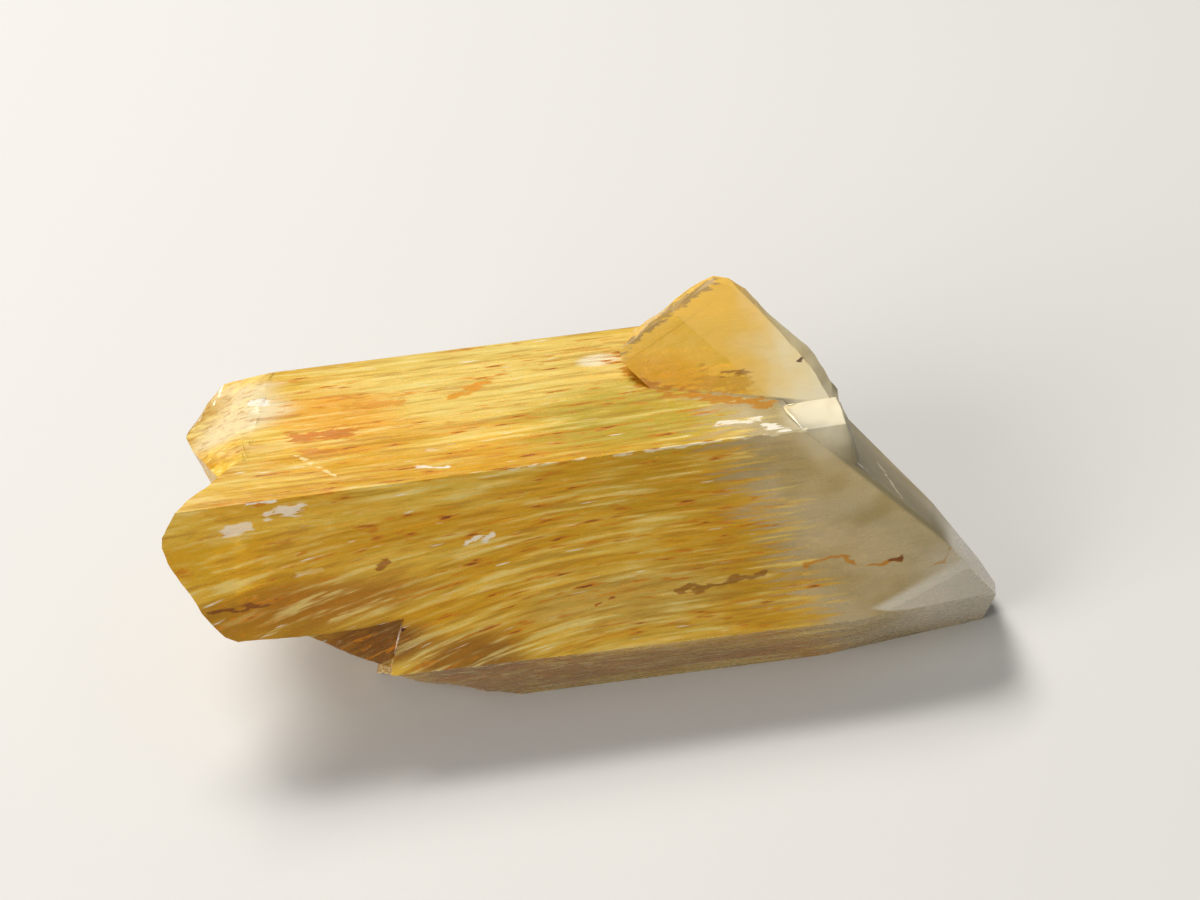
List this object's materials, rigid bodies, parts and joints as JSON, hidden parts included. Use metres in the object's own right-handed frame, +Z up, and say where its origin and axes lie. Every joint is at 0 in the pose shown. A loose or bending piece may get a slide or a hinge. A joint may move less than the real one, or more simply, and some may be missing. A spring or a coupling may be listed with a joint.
{
  "type": "mango quartz crystal",
  "caption": "Golden quartz crystal lying on a prism face, with a clear slanted point, a broken, lobed root and a small crystal grown on top.",
  "frame": {"origin": "middle of the crystal's outline, on the surface that it lies on", "axes": "+Z up, +X along the crystal's long axis towards its point, -Y towards the broad front face"},
  "size_m": [0.0386, 0.0172, 0.0164],
  "materials": {
    "mango_quartz": "polished natural faces, golden to orange fibres inside, milky clear point, rough broken root"
  },
  "bodies": {
    "root": {"quartz_crystal": "mango_quartz"}
  },
  "joints": []
}
